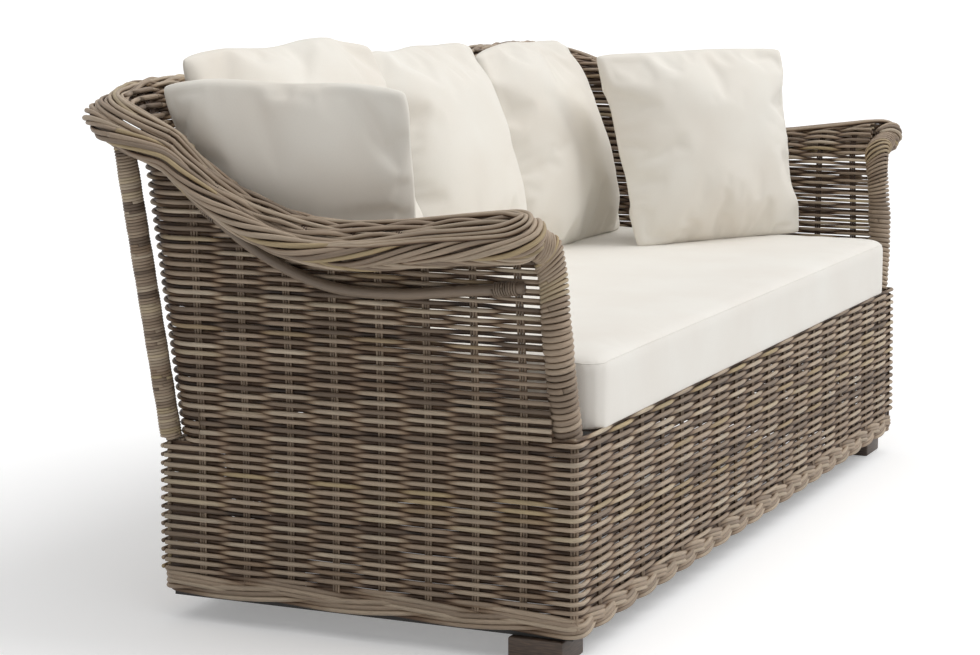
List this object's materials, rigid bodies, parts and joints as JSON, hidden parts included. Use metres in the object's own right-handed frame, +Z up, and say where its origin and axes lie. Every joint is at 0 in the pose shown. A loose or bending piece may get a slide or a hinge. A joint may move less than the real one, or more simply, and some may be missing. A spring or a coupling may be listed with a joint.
{
  "type": "rattan garden sofa",
  "caption": "Woven rattan garden sofa with curled arms, a long seat cushion and loose canvas pillows.",
  "frame": {"origin": "on the floor, under the middle of the sofa's whole box", "axes": "+X along the sofa's length, to the right of someone looking at its front; +Y from the front to the back; +Z up"},
  "size_m": [2.1222, 0.898, 0.9438],
  "materials": {
    "rattan": "weathered grey-brown unpeeled rattan, semi-matt",
    "bare_cane": "smooth bare cane, satin",
    "dark_wood": "dark stained wood, satin",
    "black_paint": "black paint, semi-matt",
    "zinc_steel": "zinc plated",
    "canvas": "off-white cotton canvas, matt"
  },
  "bodies": {
    "sofa_frame": {"arm_cane_left": "bare_cane", "arm_cane_right": "bare_cane", "arm_weave_left": "rattan", "arm_weave_right": "rattan", "back_weave": "rattan", "base_plait_front": "rattan", "base_plait_left": "rattan", "base_plait_rear": "rattan", "base_plait_right": "rattan", "base_rail_centre": "black_paint", "base_rail_front": "black_paint", "base_rail_left": "black_paint", "base_rail_rear": "black_paint", "base_rail_right": "black_paint", "base_weave_front": "rattan", "base_weave_left": "rattan", "base_weave_rear": "rattan", "base_weave_right": "rattan", "foot_bolt_front_left": "zinc_steel", "foot_bolt_front_right": "zinc_steel", "foot_bolt_rear_left": "zinc_steel", "foot_bolt_rear_right": "zinc_steel", "foot_front_left": "dark_wood", "foot_front_right": "dark_wood", "foot_rear_left": "dark_wood", "foot_rear_right": "dark_wood", "front_post_binding_left": "rattan", "front_post_binding_right": "rattan", "front_post_left": "bare_cane", "front_post_right": "bare_cane", "rear_post_binding_left": "rattan", "rear_post_binding_right": "rattan", "rear_post_left": "bare_cane", "rear_post_right": "bare_cane", "rim_braid_back": "rattan", "rim_braid_left": "rattan", "rim_braid_right": "rattan", "seat_rail_front": "bare_cane", "seat_rail_rear": "bare_cane", "seat_slat_1": "bare_cane", "seat_slat_2": "bare_cane", "seat_slat_3": "bare_cane", "seat_slat_4": "bare_cane", "seat_slat_5": "bare_cane", "seat_slat_6": "bare_cane", "seat_slat_7": "bare_cane", "seat_upright_left": "bare_cane", "seat_upright_right": "bare_cane"},
    "seat_cushion": {"seat_cushion": "canvas"},
    "pillow_back_left": {"pillow_back_left": "canvas"},
    "pillow_back_middle": {"pillow_back_middle": "canvas"},
    "pillow_back_right": {"pillow_back_right": "canvas"},
    "pillow_side_left": {"pillow_side_left": "canvas"},
    "pillow_side_right": {"pillow_side_right": "canvas"}
  },
  "joints": [
    {"name": "seat_cushion_lift", "type": "slide", "parent": "sofa_frame", "child": "seat_cushion", "axis": [0, 0, 1], "range_m": [0, 0.5]},
    {"name": "pillow_back_left_lift", "type": "slide", "parent": "seat_cushion", "child": "pillow_back_left", "axis": [0, 0, 1], "range_m": [0, 0.5]},
    {"name": "pillow_back_middle_lift", "type": "slide", "parent": "seat_cushion", "child": "pillow_back_middle", "axis": [0, 0, 1], "range_m": [0, 0.5]},
    {"name": "pillow_back_right_lift", "type": "slide", "parent": "seat_cushion", "child": "pillow_back_right", "axis": [0, 0, 1], "range_m": [0, 0.5]},
    {"name": "pillow_side_left_lift", "type": "slide", "parent": "seat_cushion", "child": "pillow_side_left", "axis": [0, 0, 1], "range_m": [0, 0.5]},
    {"name": "pillow_side_right_lift", "type": "slide", "parent": "seat_cushion", "child": "pillow_side_right", "axis": [0, 0, 1], "range_m": [0, 0.5]}
  ]
}
